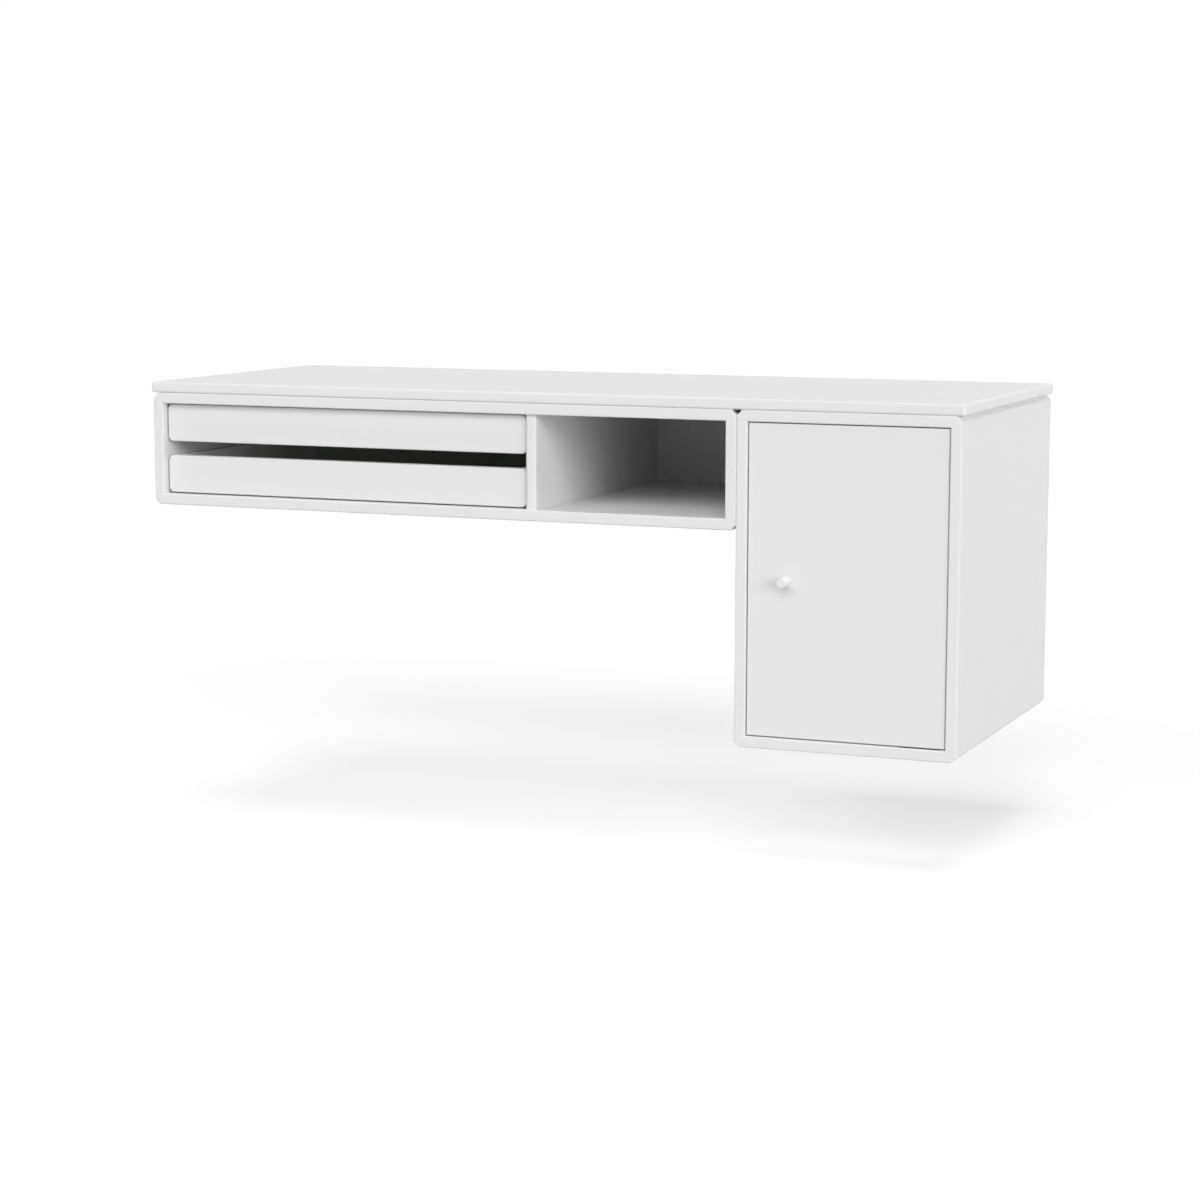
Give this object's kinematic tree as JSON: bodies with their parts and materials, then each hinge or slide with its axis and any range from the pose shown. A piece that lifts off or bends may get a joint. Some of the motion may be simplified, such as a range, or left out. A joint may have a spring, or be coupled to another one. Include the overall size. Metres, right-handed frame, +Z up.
{
  "type": "floating wall desk",
  "caption": "Wall-hung desk: a thin worktop over a low unit with sliding trays and an open bay, beside a taller cupboard with an inset door and a round knob",
  "frame": {"origin": "middle of the low unit's wall screw holes, on the wall plane", "axes": "+X along the desk to the right seen from the front, +Y into the wall, +Z up"},
  "size_m": [0.941, 0.3915, 0.366],
  "materials": {
    "white_lacquer": "white satin lacquer",
    "beech": "bare beech",
    "zinc_plated_steel": "zinc plated",
    "galvanised_sheet": "galvanised",
    "white_nylon": "matt moulded",
    "black_nylon": "matt moulded",
    "white_enamel": "white enamel",
    "magnet": "dull grey"
  },
  "bodies": {
    "desk": {"worktop": "white_lacquer", "worktop_screws": "zinc_plated_steel", "low_unit_top": "white_lacquer", "low_unit_bottom": "white_lacquer", "low_unit_left_side": "white_lacquer", "low_unit_right_side": "white_lacquer", "low_unit_divider": "white_lacquer", "divider_dowels": "beech", "low_unit_back": "white_lacquer", "low_unit_corner_tongues": "beech", "cupboard_top": "white_lacquer", "cupboard_bottom": "white_lacquer", "cupboard_left_side": "white_lacquer", "cupboard_right_side": "white_lacquer", "cupboard_back": "white_lacquer", "cupboard_corner_tongues": "beech", "cupboard_shelf": "white_lacquer", "shelf_pins": "zinc_plated_steel", "connector_bolts": "zinc_plated_steel", "connector_sleeves": "zinc_plated_steel", "upper_left_runner": "beech", "upper_right_runner": "beech", "lower_left_runner": "beech", "lower_right_runner": "beech", "runner_screws": "zinc_plated_steel", "low_unit_hanging_rail": "galvanised_sheet", "cupboard_hanging_rail": "galvanised_sheet", "hanging_rail_screws": "zinc_plated_steel", "low_unit_wall_rail": "galvanised_sheet", "cupboard_wall_rail": "galvanised_sheet", "upper_pivot_plate": "zinc_plated_steel", "lower_pivot_plate": "zinc_plated_steel", "upper_pivot_pin": "zinc_plated_steel", "lower_pivot_pin": "zinc_plated_steel", "pivot_plate_screws": "zinc_plated_steel", "catch_body": "white_nylon", "catch_magnet": "magnet", "catch_screws": "zinc_plated_steel"},
    "swinging_door": {"door": "white_lacquer", "knob": "white_enamel", "knob_screw": "zinc_plated_steel", "upper_door_bush": "black_nylon", "lower_door_bush": "black_nylon", "strike_plate": "zinc_plated_steel", "strike_screws": "zinc_plated_steel"},
    "upper_tray": {"upper_tray_front": "white_lacquer", "upper_tray_left_side": "white_lacquer", "upper_tray_right_side": "white_lacquer", "upper_tray_back": "white_lacquer", "upper_tray_bottom": "white_lacquer", "upper_tray_dowels": "beech"},
    "lower_tray": {"lower_tray_front": "white_lacquer", "lower_tray_left_side": "white_lacquer", "lower_tray_right_side": "white_lacquer", "lower_tray_back": "white_lacquer", "lower_tray_bottom": "white_lacquer", "lower_tray_dowels": "beech"}
  },
  "joints": [
    {"name": "door_hinge", "type": "hinge", "parent": "desk", "child": "swinging_door", "pos_m": [0.5659, -0.373, -0.117], "axis": [0, 0, 1], "range_deg": [0, 110]},
    {"name": "upper_tray_slide", "type": "slide", "parent": "desk", "child": "upper_tray", "axis": [0, -1, 0], "range_m": [0, 0.25]},
    {"name": "lower_tray_slide", "type": "slide", "parent": "desk", "child": "lower_tray", "axis": [0, -1, 0], "range_m": [0, 0.25]}
  ]
}
